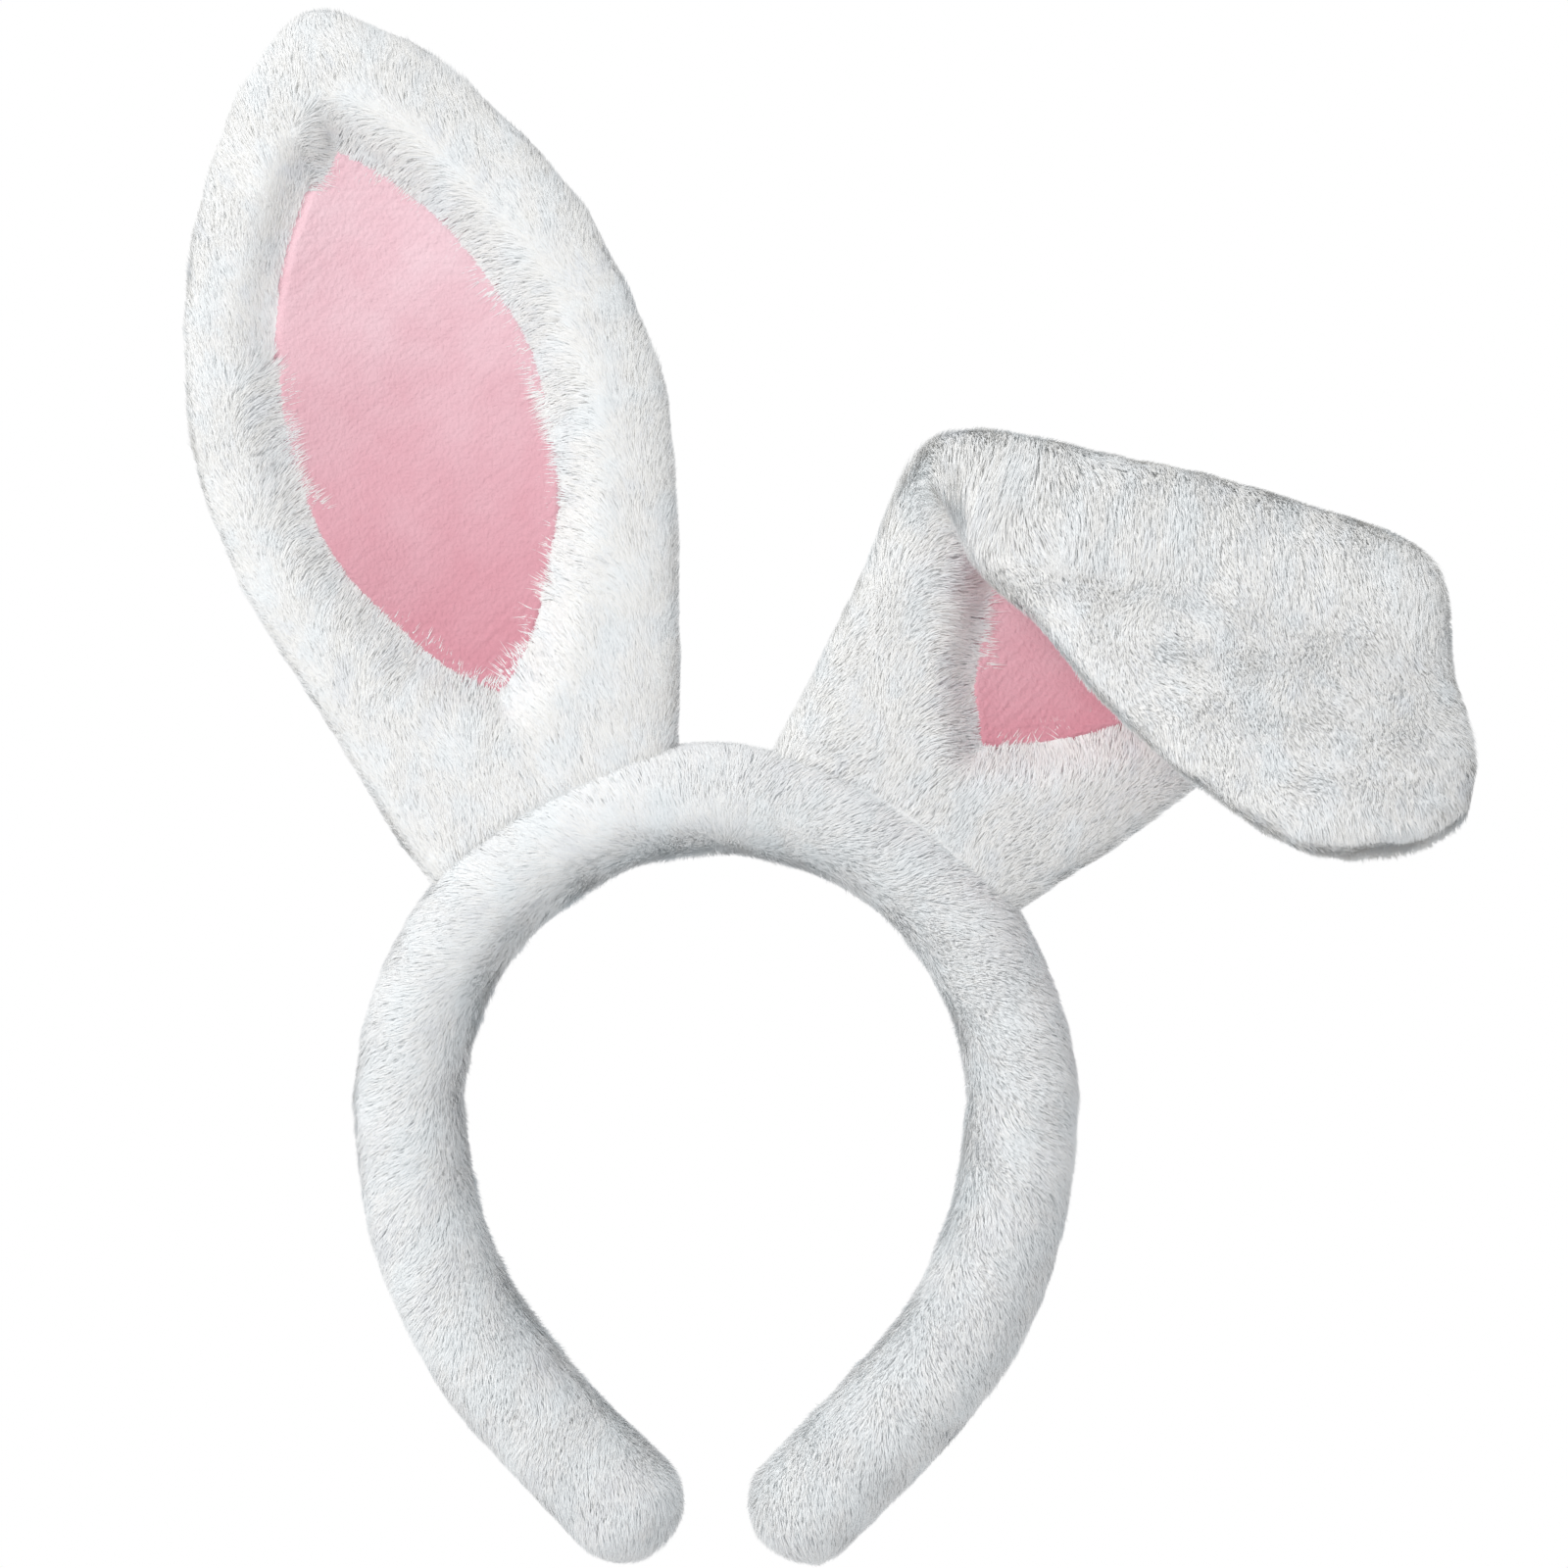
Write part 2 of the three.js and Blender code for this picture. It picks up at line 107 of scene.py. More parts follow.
# Ears. Shares of the pile's normal height are called fluff.
EAR_ROWS = 130
EAR_COLUMNS = 180
EAR_ROW_POWER = 1.7  # above 1 it crowds the rows towards the tip
EAR_OUTLINES = 100
EAR_THIN_BELOW = 24 * MM  # half width under which a section gets thinner
EAR_BACK_POWER = 0.8
EAR_FRONT_POWER = 0.7
EAR_PUFF = 0.1 * MM
EAR_LUMPS = [(0.4 * MM, 30 * MM, 13), (0.15 * MM, 10 * MM, 14)]
FOOT_TOP = 40.0 * MM
FOOT_SINK = 6.0 * MM
FOOT_STITCH = 1.5 * MM
FOOT_INSET = 5.0 * MM
FOOT_HALF_DEPTH = 5.5 * MM
FOLD_REACH = 24.0 * MM
FOLD_FLUFF = 0.5
FOLD_FILL = 5.0 * MM
LIP = 10.0 * MM
HOLLOW = 6.0 * MM
VALLEY = 2.2 * MM
BORDER = 16 * MM  # where the pile starts to lean in over the lining
BRIM = 6 * MM  # where the border's pile gets longer
BRIM_FLUFF = 0.3
BRIM_LEAN = 0.1
RIM_FLUFF = -0.35
CRISP_FROM, CRISP_TO = 0.56, 0.64  # shares of the height where the soft border ends

# Lining.
LINING_ROWS = 240
LINING_COLUMNS = 110
LINING_THICKNESS = 1.0 * MM
LINING_LIFT = 1.5 * MM
LINING_TUCK = 1.4 * MM
LINING_TUCK_REACH = 2.5 * MM
LINING_FOLDS = [(0.5 * MM, 30 * MM, 8), (0.11 * MM, 1.5 * MM, 18, 14)]

# Stage. The camera's middle is a little to the left of the object's.
CAMERA_DISTANCE = 3.2
VIEW_SIZE = 0.3562
VIEW_LEFT = 9.4 * MM
SENSOR = 36.0
FLOOR_RADIUS = 2.0
FLOOR_HEIGHT = -0.42
FLOOR_WHITE = (0.82, 0.82, 0.82)
FILL_COLOUR = (0.97, 0.985, 1.0)
FILL_STRENGTH = 0.62
KEY_PLACE = (-3.8, -5.3, 3.0)
KEY_SIZE = 3.4
KEY_WATTS = 266
KEY_COLOUR = (1.0, 0.995, 0.985)
BOUNCES = 24  # white pile needs many


# ------------------------------------------------------------------ numbers and meshes

def unit(vectors):
    return vectors / np.maximum(np.linalg.norm(vectors, axis=-1, keepdims=True), 1e-12)


def dot(a, b):
    return np.sum(a * b, axis=-1, keepdims=True)


def smoothstep(values, low, high):
    t = np.clip((values - low) / (high - low), 0.0, 1.0)
    return t * t * (3.0 - 2.0 * t)


def waves(points, size, seed, count=7):
    """A smooth random field from about -1 to 1, with features of the given size."""
    rng = np.random.default_rng(seed)
    total = np.zeros(points.shape[:-1])
    for _ in range(count):
        direction = unit(rng.normal(size=3)) * (2.0 * math.pi / size) * rng.uniform(0.6, 1.3)
        total += np.sin(points @ direction + rng.uniform(0.0, 2.0 * math.pi))
    return total * 0.85 / math.sqrt(count)


def drift(points, layers):
    """The sum of some smooth random fields."""
    return sum(amplitude * waves(points, *field) for amplitude, *field in layers)


def turned(points, pivot, axis, angles):
    """Points turned about an axis through the pivot, each by its own angle."""
    arm = points - pivot
    cos, sin = np.cos(angles)[..., None], np.sin(angles)[..., None]
    return pivot + arm * cos + np.cross(axis, arm) * sin + axis * (arm @ axis)[..., None] * (1.0 - cos)


def mesh_piece(name, points, faces, materials, slots=None, normals=None):
    """A smooth mesh from an array of points and an array of faces with one number of corners."""
    mesh = bpy.data.meshes.new(name)
    count, corners = faces.shape
    mesh.vertices.add(len(points))
    mesh.vertices.foreach_set("co", points.astype(np.float32).ravel())
    mesh.loops.add(count * corners)
    mesh.loops.foreach_set("vertex_index", faces.astype(np.int32).ravel())
    mesh.polygons.add(count)
    mesh.polygons.foreach_set("loop_start", np.arange(0, count * corners, corners, dtype=np.int32))
    for material in materials:
        mesh.materials.append(material)
    if slots is not None:
        mesh.polygons.foreach_set("material_index", slots.astype(np.int32))
    mesh.update(calc_edges=True)
    mesh.shade_smooth()
    if normals is not None:
        mesh.normals_split_custom_set_from_vertices(normals)
    piece = bpy.data.objects.new(name, mesh)
    bpy.context.scene.collection.objects.link(piece)
    return piece


def grid_faces(rows, columns, closed=True):
    """Quads of a grid of points, whose columns may run round."""
    across = columns if closed else columns - 1
    i, j = np.meshgrid(np.arange(rows - 1), np.arange(across), indexing="ij")
    k = (j + 1) % columns
    quads = np.stack([i * columns + j, i * columns + k, (i + 1) * columns + k, (i + 1) * columns + j], -1)
    return quads.reshape(-1, 4)


def outward_faces(grid, normals):
    """Faces of a closed-round grid, wound so that they face along the normals."""
    faces = grid_faces(*grid.shape[:2])
    corners = grid.reshape(-1, 3)[faces]
    facing = np.cross(corners[:, 1] - corners[:, 0], corners[:, 3] - corners[:, 0])
    outward = np.sum(facing * normals.reshape(-1, 3)[faces[:, 0]]) > 0
    return faces if outward else faces[:, ::-1]


def grid_normals(grid, inside):
    """Unit normals of a grid of points that runs round in its columns, pointing away from inside."""
    along = np.gradient(grid, axis=0)
    around = np.roll(grid, -1, axis=1) - np.roll(grid, 1, axis=1)
    normals = unit(np.cross(around, along))
    facing = dot(normals, grid - inside).mean(axis=1, keepdims=True)
    return normals * np.sign(facing)


def vertices_of(node):
    mesh = NODES[node].data
    points = np.empty(len(mesh.vertices) * 3)
    mesh.vertices.foreach_get("co", points)
    return points.reshape(-1, 3)


def edges_of(node):
    mesh = NODES[node].data
    edges = np.empty(len(mesh.edges) * 2, dtype=np.int32)
    mesh.edges.foreach_get("vertices", edges)
    return edges.reshape(-1, 2)


# ------------------------------------------------------------------ materials

def material(name, colour, roughness, sheen=0.0):
    made = bpy.data.materials.new(name)
    made.use_nodes = True
    inputs = made.node_tree.nodes["Principled BSDF"].inputs
    inputs["Base Color"].default_value = (*colour, 1.0)
    inputs["Roughness"].default_value = roughness
    inputs["Sheen Weight"].default_value = sheen
    return made


def node(made, kind, **values):
    added = made.node_tree.nodes.new(kind)
    for key, value in values.items():
        added.inputs[key].default_value = value
    return added


def mottled(name, low, high, size, roughness, bump, grain_size):
    """A cloth whose tone drifts between two colours, with a fine bump."""
    made = material(name, low, roughness)
    links = made.node_tree.links
    shader = made.node_tree.nodes["Principled BSDF"]
    place = node(made, "ShaderNodeTexCoord")
    tone = node(made, "ShaderNodeTexNoise", Scale=1.0 / size, Detail=4.0, Roughness=0.6)
    ramp = node(made, "ShaderNodeValToRGB")
    ends = ramp.color_ramp.elements
    ends[0].position, ends[0].color = 0.3, (*low, 1.0)
    ends[1].position, ends[1].color = 0.7, (*high, 1.0)
    grain = node(made, "ShaderNodeTexNoise", Scale=1.0 / grain_size, Detail=3.0)
    relief = node(made, "ShaderNodeBump", Strength=bump, Distance=0.4 * MM)
    links.new(place.outputs["Object"], tone.inputs["Vector"])
    links.new(place.outputs["Object"], grain.inputs["Vector"])
    links.new(tone.outputs[0], ramp.inputs[0])
    links.new(ramp.outputs[0], shader.inputs["Base Color"])
    links.new(grain.outputs[0], relief.inputs["Height"])
    links.new(relief.outputs[0], shader.inputs["Normal"])
    return made


def painted_shade_below(made, shade_tint):
    """Paints shade into a cloth: multiplies its tone by a darker colour that fades out towards the top of the
    piece, for the shade deep in the ear's hollow.
    """
    nodes, links = made.node_tree.nodes, made.node_tree.links
    colour = nodes["Principled BSDF"].inputs["Base Color"]
    place = nodes.new("ShaderNodeTexCoord")
    height = nodes.new("ShaderNodeSeparateXYZ")
    fade = nodes.new("ShaderNodeValToRGB")
    ends = fade.color_ramp.elements
    ends[0].position, ends[0].color = 0.05, (*shade_tint, 1.0)
    ends[1].position, ends[1].color = 0.8, (1.0, 1.0, 1.0, 1.0)
    tinted = nodes.new("ShaderNodeMix")
    tinted.data_type, tinted.blend_type = "RGBA", "MULTIPLY"
    tinted.inputs["Factor"].default_value = 1.0
    before = colour.links[0].from_socket
    links.new(place.outputs["Generated"], height.inputs[0])
    links.new(height.outputs["Z"], fade.inputs[0])
    links.new(before, tinted.inputs["A"])
    links.new(fade.outputs[0], tinted.inputs["B"])
    links.new(tinted.outputs["Result"], colour)


FUR_TONES = [material(name, colour, roughness=0.9, sheen=0.5) for name, colour in (
    ("fur_cool", (0.955, 0.972, 0.98)), ("fur_bright", (0.978, 0.98, 0.98)),
    ("fur_warm", (0.98, 0.975, 0.962)), ("fur_shade", (0.935, 0.945, 0.955)),
)]
HOOP_TONES = [5, 3, 1, 2]  # weights of the four tones
EAR_TONES = [2, 3, 4, 1]
FUR_SKIN = mottled("fur_backing", (0.94, 0.95, 0.955), (0.97, 0.97, 0.965), 9 * MM, 0.95, 0.2, 0.6 * MM)
LINING_CLOTH_PAINTED_SHADE = mottled("lining_fleece_painted_shade", (0.87, 0.545, 0.61), (0.92, 0.65, 0.71), 16 * MM, 0.85, 1.0, 0.9 * MM)
# Painted shade: the lining's pink is darkened towards its foot, standing in for the shade and the pink bounce
# light low in the ear's hollow.
painted_shade_below(LINING_CLOTH_PAINTED_SHADE, (0.80, 0.51, 0.56))
THREAD = mottled("sewing_thread", (0.86, 0.87, 0.88), (0.95, 0.95, 0.95), 1 * MM, 0.7, 0.4, 0.2 * MM)
FOAM = mottled("foam_core", (0.84, 0.82, 0.74), (0.92, 0.90, 0.83), 3 * MM, 0.95, 0.8, 0.7 * MM)
SPRING_STRIP = mottled("plastic_strip", (0.82, 0.83, 0.84), (0.86, 0.87, 0.88), 5 * MM, 0.4, 0.05, 0.3 * MM)
WIRE = mottled("coated_wire", (0.62, 0.63, 0.65), (0.70, 0.71, 0.73), 4 * MM, 0.35, 0.1, 0.2 * MM)


# ------------------------------------------------------------------ fur

def gathered(values, root):
    """The mean of the values over small random patches of the skin, for each strand."""
    warp = np.stack([waves(root, TUFT_WARP, seed, 5) for seed in (61, 62, 63)], axis=1) * TUFT
    cell = np.floor((root + warp) / TUFT).astype(np.int64)
    key = np.bitwise_xor.reduce(cell * TUFT_HASH, axis=1)
    _, member = np.unique(key, return_inverse=True)
    size = np.bincount(member)
    mean = np.stack([np.bincount(member, weights=values[:, k]) / size for k in range(3)], axis=1)
    return mean[member]


def grow(surface, rng):
    """Strands on a grid surface: each is a thin bowed blade of five points that ends in a tip,
    with normals that lean towards the skin's own. Returns points and normals (strand, 5, 3),
    and the roots (strand, 3)."""
    grid = surface["grid"]
    share = surface["share"]
    columns = grid.shape[1]
    nxt = (np.arange(columns) + 1) % columns

    def corners(field):
        return field[:-1], field[:-1][:, nxt], field[1:][:, nxt], field[1:]

    a, b, c, d = corners(grid)
    area = np.linalg.norm(np.cross(b - a, d - a), axis=-1) + np.linalg.norm(np.cross(b - c, d - c), axis=-1)
    weight = 0.5 * area * sum(corners(share)) / 4
    count = int(weight.sum() * PILE_DENSITY)
    picked = np.sort(rng.choice(weight.size, size=count, p=weight.ravel() / weight.sum()))
    i, j = np.divmod(picked, columns)
    s, t = rng.random(count)[:, None], rng.random(count)[:, None]

    def sample(field):
        near = field[i, j] * (1 - t) + field[i, nxt[j]] * t
        far = field[i + 1, j] * (1 - t) + field[i + 1, nxt[j]] * t
        return near * (1 - s) + far * s

    root = sample(grid)
    normal = unit(sample(surface["normals"]))
    comb = sample(surface["flow"])
    comb = unit(comb - normal * dot(comb, normal))
    side = np.cross(normal, comb)
    swing = drift(root, SWING_DRIFT) + rng.normal(scale=SWING_SCATTER, size=count)
    comb = comb * np.cos(swing)[:, None] + side * np.sin(swing)[:, None]
    lean = sample(surface["lean"][..., None])[:, 0] * (1.0 + drift(root, PILE_LEAN_DRIFT))
    lean = lean + rng.normal(scale=PILE_LEAN_SCATTER, size=count)
    rise = PILE_HEIGHT * sample(surface["fluff"][..., None])[:, 0]
    rise = rise * rng.uniform(*PILE_HEIGHT_SCATTER, size=count) * (1.0 + drift(root, PILE_HEIGHT_DRIFT))
    reach = rise * np.tan(np.clip(lean, 0.0, PILE_LEAN_MOST))
    stem = normal * rise[:, None] + comb * reach[:, None]
    stem = stem + TUFT_PULL * (gathered(root + stem, root) - root - stem)
    along = unit(stem)
    flat = unit(np.cross(along, normal + 0.01 * side))
    face = np.cross(flat, along)
    roll = rng.normal(scale=BLADE_ROLL, size=(count, 1))
    blade = flat * np.cos(roll) + face * np.sin(roll)
    facing = normal * SKIN_NORMAL + (face * np.cos(roll) - flat * np.sin(roll)) * (1.0 - SKIN_NORMAL)
    half = 0.5 * PILE_THICKNESS * rng.uniform(*PILE_THICKNESS_SCATTER, size=(count, 1)) * blade
    base = root - STRAND_SINK * normal
    middle = root + 0.5 * stem + BLADE_BOW * rise[:, None] * normal
    points = np.stack([base - half, base + half, middle - half, middle + half, root + stem], axis=1)
    rounded = BLADE_ROUND * blade
    edges = [unit(facing - rounded), unit(facing + rounded)]
    normals = np.stack(edges + edges + [unit(facing)], axis=1)
    return points, normals, root


def fur_pieces(name, surface, weights, rng):
    """Meshes of strands, with a limit on each. Each strand takes one tone, by the tones' weights."""
    points, normals, root = grow(surface, rng)
    total = len(points)
    parts = -(-total // STRANDS_IN_A_PIECE)
    field = drift(root, TONE_DRIFT) + rng.normal(scale=TONE_SCATTER, size=total)
    order = np.argsort(np.argsort(field)) / total
    tone = np.searchsorted(np.cumsum(weights) / np.sum(weights), order, side="right")
    made = []
    for part in range(parts):
        low, high = part * total // parts, (part + 1) * total // parts
        faces = (STRAND_FACES[None] + 5 * np.arange(high - low)[:, None, None]).reshape(-1, 3)
        slots = np.repeat(tone[low:high], len(STRAND_FACES))
        made.append(mesh_piece(f"{name}_{part + 1}", points[low:high].reshape(-1, 3), faces, FUR_TONES, slots,
                               normals[low:high].reshape(-1, 3)))
    return made


# ------------------------------------------------------------------ hoop

def catmull_rom(points, steps=10):
    padded = np.concatenate([[2 * points[0] - points[1]], points, [2 * points[-1] - points[-2]]])
    dense = []
    for before, start, end, after in zip(padded, padded[1:], padded[2:], padded[3:]):
        for t in np.arange(steps) / steps:
            dense.append(0.5 * (2 * start + (end - before) * t
                                + (2 * before - 5 * start + 4 * end - after) * t**2
                                + (3 * start - before - 3 * end + after) * t**3))
    return np.array(dense + [points[-1]])


def core_stations(side):
    """Points of the tube's centre line from near the crown to one tip: the stations of the
    core strip, whose edge vertices come in pairs."""
    leg = "right_leg" if side > 0 else "left_leg"
    points = np.concatenate([vertices_of("crown_core"), vertices_of(f"{leg}_core")])
    edge = points[(points[:, 1] > points[:, 1].max() - 0.1 * MM) & (points[:, 0] * side > 0)]
    edge = np.unique(np.round(edge, 6), axis=0)
    middle = (cad_low[2] + JOINTS["right_leg_flex"]["pos_m"][2]) / 2
    angles = np.arctan2(edge[:, 0] * side, edge[:, 2] - middle)
    edge = edge[np.argsort(angles)]
    stations = edge[:len(edge) // 2 * 2].reshape(-1, 2, 3).mean(axis=1)
    stations[:, 1] = 0.0
    # The two stations at the flex lie on a chord of the arc, so they are left out.
    close = np.linalg.norm(np.diff(stations, axis=0), axis=1) < FLEX_SPLIT
    return stations[~(np.append(False, close) | np.append(close, False))]


def hoop_circle():
    """Centre and radius of the crown's arc, from two of its stations."""
    first, second = core_stations(1)[:2]
    z = (first @ first - second @ second) / (2 * (first[2] - second[2]))
    centre = np.array([0.0, 0.0, z])
    return centre, np.linalg.norm(first - centre)


def hoop_path(side):
    """Evenly spaced points of the centre line from the crown to the middle of the tip's dome,
    with the direction along it, the direction out of the hoop, and the sleeve's radius."""
    leg = "right_leg" if side > 0 else "left_leg"
    stations = core_stations(side)
    crown = HOOP_CENTRE + np.array([0.0, 0.0, HOOP_RADIUS])
    tip_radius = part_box(f"{leg}_sleeve")[1][1]
    heading = unit(stations[-1] - stations[-2])
    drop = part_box(f"{leg}_sleeve")[0][2] + tip_radius - stations[-1][2]
    tip = stations[-1] + heading * drop / heading[2]
    dense = catmull_rom(np.concatenate([[crown], stations, [tip]]))
    lengths = np.concatenate([[0.0], np.cumsum(np.linalg.norm(np.diff(dense, axis=0), axis=1))])
    even = np.linspace(0.0, lengths[-1], int(lengths[-1] / HOOP_RING) + 1)
    line = np.stack([np.interp(even, lengths, dense[:, k]) for k in range(3)], axis=1)
    along = unit(np.gradient(line, axis=0))
    along[0] = (side, 0.0, 0.0)
    out = side * np.stack([-along[:, 2], 0.0 * even, along[:, 0]], axis=1)
    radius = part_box("crown_sleeve")[1][1]
    swell = smoothstep(even / lengths[-1], HOOP_SWELL_FROM, HOOP_SWELL_TO)
    return even, line, along, out, radius + (tip_radius - radius) * swell


def hoop_surface(side):
    """The sleeve's skin, which carries the pile, with the way its pile lies."""
    even, line, along, out, radius = hoop_path(side)
    radius = radius - PILE_DEPTH
    dome = np.radians(np.linspace(DOME_FROM, DOME_TO, DOME_RINGS))[:, None]
    even = np.concatenate([even, np.full(DOME_RINGS, even[-1])])
    line = np.concatenate([line, line[-1] + along[-1] * radius[-1] * np.sin(dome)])
    along = np.concatenate([along, np.repeat(along[-1:], DOME_RINGS, axis=0)])
    out = np.concatenate([out, np.repeat(out[-1:], DOME_RINGS, axis=0)])
    radius = np.concatenate([radius, radius[-1] * np.cos(dome[:, 0])])
    angles = np.linspace(0.0, 2.0 * math.pi, HOOP_COLUMNS, endpoint=False)[None, :, None]
    spoke = np.cos(angles) * out[:, None] + np.sin(angles) * BACK
    grid = line[:, None] + spoke * radius[:, None, None]
    normals = grid_normals(grid, line[:, None])
    normals[0] = spoke[0]
    grid = grid + normals * (HOOP_PUFF + drift(grid, HOOP_LUMPS))[..., None]
    # The pile lies down the legs and outwards, and parts along the seam at the inner back.
    off = (angles[..., 0] - (math.pi - SEAM_ANGLE)) * radius[:, None]
    beside = smoothstep(np.abs(off), SEAM_REACH, 0.0)[..., None] * np.sign(off)[..., None]
    downwards = np.tanh(even / HOOP_DOWN_REACH)[:, None, None]
    flow = 0.7 * downwards * along[:, None] + 0.8 * out[:, None]
    flow = flow + 2.0 * beside * (np.cos(angles) * BACK - np.sin(angles) * out[:, None])
    share = np.where(np.abs(off) < SEAM_HALF, SEAM_SHARE, 1.0)
    for ear in EARS:
        share = share * ear.beyond_foot(grid)
    return {"grid": grid, "normals": normals, "flow": flow, "share": share,
            "fluff": np.ones(share.shape), "lean": np.full(share.shape, PILE_LEAN)}


def build_half_hoop(side):
    leg = "right_leg" if side > 0 else "left_leg"
    surface = hoop_surface(side)
    grid, normals = surface["grid"], surface["normals"]
    name = "right_sleeve" if side > 0 else "left_sleeve"
    rng = np.random.default_rng(100 + side)
    skin = mesh_piece(f"{name}_skin", grid.reshape(-1, 3), outward_faces(grid, normals), [FUR_SKIN])
    for piece in [skin] + fur_pieces(f"{name}_fur", surface, HOOP_TONES, rng):
        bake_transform(piece)
    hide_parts(f"{leg}_sleeve")
    if side > 0:
        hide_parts("crown_sleeve")


# ------------------------------------------------------------------ ears

class Ear:
    """One ear straightened out: x runs across it, z up it, and y towards its back."""

    def __init__(self, name):
        self.name = name
        self.side = -1 if name.startswith("left") else 1
        tilt, fold = JOINTS[f"{name}_tilt"], JOINTS[f"{name}_fold"]
        self.root = np.array(tilt["pos_m"])
        self.pivot = np.array(fold["pos_m"])
        self.hinge = unit(np.array(fold["axis"]))
        self.bent = -math.radians(fold["range_deg"][0])
        self.up = unit((self.pivot - self.root) * (1.0, 0.0, 1.0))
        self.across = np.array([self.up[2], 0.0, -self.up[0]])
        self.climb = np.cross(self.hinge, BACK)
        self.climb = self.climb * np.sign(self.climb @ self.up)
        low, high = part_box(f"{name}_cover_lower")
        self.front, self.back = -low[1], high[1]
        foot = self.local(vertices_of(f"{name}_foot_thread"))[:, 0]
        self.foot = (foot.max() - foot.min()) / 2 - FOOT_STITCH
        foot_middle = (foot.max() + foot.min()) / 2
        heights, left, right = self.outline("cover")
        self.top = heights[-1]
        beyond = (heights > FOOT_TOP) & (heights < self.top - 0.4 * MM)
        self.heights = np.concatenate([[0.0], heights[beyond], [self.top]])
        self.half = np.concatenate([[self.foot], (right - left)[beyond] / 2, [0.0]])
        self.middle = np.concatenate([[foot_middle], (right + left)[beyond] / 2, [(right + left)[-1] / 2]])
        self.leaf = self.outline("lining")
        self.hoop_middle = self.local(HOOP_CENTRE)
        self.hoop_reach = np.linalg.norm(self.root - HOOP_CENTRE)

    def local(self, points):
        away = np.asarray(points) - self.root
        return np.stack([away @ self.across, away[..., 1], away @ self.up], axis=-1)

    def world(self, x, y, z):
        x, y, z = (part[..., None] for part in np.broadcast_arrays(x, y, z))
        return self.root + x * self.across + y * BACK + z * self.up

    def outline(self, layer):
        """Heights, and the left and right edges there, of a layer of the straightened CAD ear."""
        lower, upper = f"{self.name}_{layer}_lower", f"{self.name}_{layer}_upper"
        low_points = self.local(vertices_of(lower))
        unfolded = turned(vertices_of(upper), self.pivot, self.hinge, np.array(-self.bent))
        ends = np.concatenate([low_points[edges_of(lower)], self.local(unfolded)[edges_of(upper)]])
        a, b = ends[:, 0], ends[:, 1]
        heights = np.linspace(a[:, 2].min() + 0.1 * MM, a[:, 2].max() - 0.05 * MM, EAR_OUTLINES)
        edges = []
        for height in heights:
            crossing = (a[:, 2] - height) * (b[:, 2] - height) < 0
            share = (height - a[crossing, 2]) / (b[crossing, 2] - a[crossing, 2])
            x = a[crossing, 0] + share * (b[crossing, 0] - a[crossing, 0])
            edges.append((x.min(), x.max()) if len(x) else edges[-1])
        # A running median closes the gap between the two halves at the fold.
        padded = np.pad(np.array(edges), ((2, 2), (0, 0)), mode="edge")
        left, right = np.median([padded[k:k + len(heights)] for k in range(5)], axis=0).T
        return heights, left, right

    def skin_outline(self, height):
        """Half width and middle of the skin, which ends PILE_DEPTH short of the outline."""
        z = height * self.top / (self.top - PILE_DEPTH)
        widest = self.half.max()
        half = np.interp(z, self.heights, self.half) * (widest - PILE_DEPTH) / widest
        return half, np.interp(z, self.heights, self.middle)

    def leaf_distance(self, x, z):
        """Distance outside the lining's outline, and negative inside it."""
        heights, left, right = self.leaf
        ring = np.concatenate([np.stack([left, heights], axis=1), np.stack([right, heights], axis=1)[::-1]])
        side = np.roll(ring, -1, axis=0) - ring
        spot = np.stack(np.broadcast_arrays(x, z), axis=-1)[..., None, :]
        t = np.clip(np.sum((spot - ring) * side, axis=-1) / np.sum(side * side, axis=-1), 0.0, 1.0)
        distance = np.linalg.norm(spot - ring - t[..., None] * side, axis=-1).min(axis=-1)
        inside = (x > np.interp(z, heights, left)) & (x < np.interp(z, heights, right))
        inside = inside & (z > heights[0]) & (z < heights[-1])
        return np.where(inside, -distance, distance)

    def floor(self, x, z):
        """Depth of the hollow that the lining lies in, deepest along the leaf's middle."""
        heights, left, right = self.leaf
        half = np.interp(z, heights, (right - left) / 2)
        off = (x - np.interp(z, heights, (left + right) / 2)) / np.maximum(half, MM)
        middle = np.clip(1.0 - off**2, 0.0, 1.0) * half / ((right - left).max() / 2)
        return -self.front + PILE_DEPTH + HOLLOW + VALLEY * middle

    def drop(self, x):
        """Height of the hoop's outer side at a place across the ear."""
        rise = self.hoop_reach**2 - (x - self.hoop_middle[0]) ** 2
        return self.hoop_middle[2] + np.sqrt(np.maximum(rise, 0.0))

    def beyond_foot(self, points):
        """0 under the ear's foot and 1 away from it."""
        place = self.local(points)
        under = np.abs(place[..., 0] - self.middle[0]) < self.foot - FOOT_INSET
        under = under & (np.abs(place[..., 1]) < FOOT_HALF_DEPTH)
        return np.where(under & (place[..., 2] > self.drop(place[..., 0]) - FOOT_SINK - PILE_DEPTH), 0.0, 1.0)

